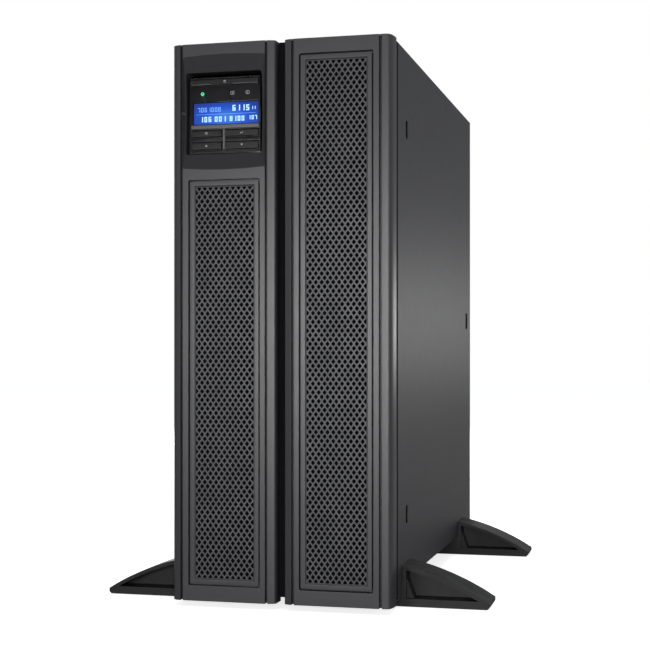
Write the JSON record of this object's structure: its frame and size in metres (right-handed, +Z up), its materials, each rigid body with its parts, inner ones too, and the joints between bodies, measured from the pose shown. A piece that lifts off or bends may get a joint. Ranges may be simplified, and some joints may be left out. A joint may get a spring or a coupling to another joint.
{
  "type": "rackmount ups",
  "caption": "Convertible tower or rack battery backup unit with perforated bezels, turnable display pod, slide-out battery module and stabiliser feet.",
  "frame": {"origin": "on the floor, under the middle of the bounding box", "axes": "+Z up, the front faces -Y, +X is the unit's right side as seen from the front"},
  "size_m": [0.3108, 0.442, 0.4365],
  "materials": {
    "chassis_steel": "fine-textured powder coat, satin",
    "zinc_steel": "zinc plated sheet",
    "frame_black": "matt black",
    "foot_plastic": "moulded, fine grain",
    "bezel_plastic": "moulded, fine grain, satin",
    "grille_metal": "painted perforated sheet in a moulded rim",
    "pod_plastic": "semi gloss",
    "key_plastic": "semi gloss",
    "lcd_glass": "backlit display window",
    "circuit_board": "solder mask",
    "battery_case": "moulded case",
    "port_plastic": "moulded",
    "breaker_plastic": "moulded",
    "fan_plastic": "moulded",
    "bright_metal": "nickel plated",
    "heatsink_metal": "extruded",
    "capacitor_can": "sleeved can",
    "core_steel": "laminated core"
  },
  "bodies": {
    "chassis": {"chassis_pan": "chassis_steel", "side_cover": "chassis_steel", "rear_panel": "chassis_steel", "card_slot_cover": "chassis_steel", "battery_port_cover": "chassis_steel", "mid_partition": "zinc_steel", "battery_guide_rail": "zinc_steel", "fan_guard_upper": "zinc_steel", "fan_guard_lower": "zinc_steel", "front_frame": "frame_black", "foot_front_left": "foot_plastic", "foot_front_right": "foot_plastic", "foot_rear_left": "foot_plastic", "foot_rear_right": "foot_plastic", "main_board": "circuit_board", "control_board": "circuit_board", "power_inlet": "port_plastic", "outlet_block_upper": "port_plastic", "outlet_block_lower": "port_plastic", "outlet_large": "port_plastic", "breaker_body_left": "port_plastic", "breaker_body_right": "port_plastic", "comm_ports": "port_plastic", "fan_frame_upper": "fan_plastic", "fan_frame_lower": "fan_plastic", "ground_stud": "bright_metal", "heatsink_upper": "heatsink_metal", "heatsink_lower": "heatsink_metal", "capacitor_bank": "capacitor_can", "transformer": "core_steel"},
    "display_bezel": {"display_bezel": "bezel_plastic", "display_grille": "grille_metal"},
    "battery_bezel": {"battery_bezel": "bezel_plastic", "battery_grille": "grille_metal"},
    "display_pod": {"pod_face": "pod_plastic", "pod_housing": "pod_plastic", "lcd_panel": "lcd_glass", "display_board": "circuit_board"},
    "battery_module": {"battery_tray": "zinc_steel", "battery_block_1": "battery_case", "battery_block_2": "battery_case", "battery_block_3": "battery_case", "battery_block_4": "battery_case", "battery_front_plate": "zinc_steel", "battery_connector": "port_plastic"},
    "power_button": {"power_button": "key_plastic"},
    "menu_key_upper_left": {"menu_key_upper_left": "key_plastic"},
    "menu_key_upper_right": {"menu_key_upper_right": "key_plastic"},
    "menu_key_lower_left": {"menu_key_lower_left": "key_plastic"},
    "menu_key_lower_right": {"menu_key_lower_right": "key_plastic"},
    "battery_handle": {"battery_handle": "port_plastic"},
    "thumb_screw_upper": {"thumb_screw_upper": "bright_metal"},
    "thumb_screw_lower": {"thumb_screw_lower": "bright_metal"},
    "fan_rotor_upper": {"fan_rotor_upper": "fan_plastic"},
    "fan_rotor_lower": {"fan_rotor_lower": "fan_plastic"},
    "breaker_button_left": {"breaker_button_left": "breaker_plastic"},
    "breaker_button_right": {"breaker_button_right": "breaker_plastic"}
  },
  "joints": [
    {"name": "display_bezel_pull", "type": "slide", "parent": "chassis", "child": "display_bezel", "axis": [0, -1, 0], "range_m": [0, 0.06]},
    {"name": "display_pod_pull", "type": "slide", "parent": "chassis", "child": "display_pod", "axis": [0, -1, 0], "range_m": [0, 0.025]},
    {"name": "battery_module_slide", "type": "slide", "parent": "chassis", "child": "battery_module", "axis": [0, -1, 0], "range_m": [0, 0.31]},
    {"name": "battery_bezel_pull", "type": "slide", "parent": "battery_module", "child": "battery_bezel", "axis": [0, -1, 0], "range_m": [0, 0.06]},
    {"name": "battery_handle_swing", "type": "hinge", "parent": "battery_module", "child": "battery_handle", "pos_m": [0.043, -0.18, 0.25], "axis": [-1, 0, 0], "range_deg": [0, 90]},
    {"name": "thumb_screw_upper_turn", "type": "hinge", "parent": "battery_module", "child": "thumb_screw_upper", "pos_m": [0.043, -0.177, 0.405], "axis": [0, 1, 0], "continuous": true},
    {"name": "thumb_screw_lower_turn", "type": "hinge", "parent": "battery_module", "child": "thumb_screw_lower", "pos_m": [0.043, -0.177, 0.045], "axis": [0, 1, 0], "continuous": true},
    {"name": "power_button_press", "type": "slide", "parent": "display_pod", "child": "power_button", "axis": [0, 1, 0], "range_m": [0, 0.0008], "stiffness_N_per_m": 1200, "springref_m": -0.0008},
    {"name": "menu_key_upper_left_press", "type": "slide", "parent": "display_pod", "child": "menu_key_upper_left", "axis": [0, 1, 0], "range_m": [0, 0.0008], "stiffness_N_per_m": 1200, "springref_m": -0.0008},
    {"name": "menu_key_upper_right_press", "type": "slide", "parent": "display_pod", "child": "menu_key_upper_right", "axis": [0, 1, 0], "range_m": [0, 0.0008], "stiffness_N_per_m": 1200, "springref_m": -0.0008},
    {"name": "menu_key_lower_left_press", "type": "slide", "parent": "display_pod", "child": "menu_key_lower_left", "axis": [0, 1, 0], "range_m": [0, 0.0008], "stiffness_N_per_m": 1200, "springref_m": -0.0008},
    {"name": "menu_key_lower_right_press", "type": "slide", "parent": "display_pod", "child": "menu_key_lower_right", "axis": [0, 1, 0], "range_m": [0, 0.0008], "stiffness_N_per_m": 1200, "springref_m": -0.0008},
    {"name": "fan_upper_spin", "type": "hinge", "parent": "chassis", "child": "fan_rotor_upper", "pos_m": [-0.0435, 0.197, 0.388], "axis": [0, 1, 0], "continuous": true},
    {"name": "fan_lower_spin", "type": "hinge", "parent": "chassis", "child": "fan_rotor_lower", "pos_m": [-0.0435, 0.197, 0.064], "axis": [0, 1, 0], "continuous": true},
    {"name": "breaker_left_pop", "type": "slide", "parent": "chassis", "child": "breaker_button_left", "axis": [0, 1, 0], "range_m": [0, 0.003]},
    {"name": "breaker_right_pop", "type": "slide", "parent": "chassis", "child": "breaker_button_right", "axis": [0, 1, 0], "range_m": [0, 0.003]}
  ]
}
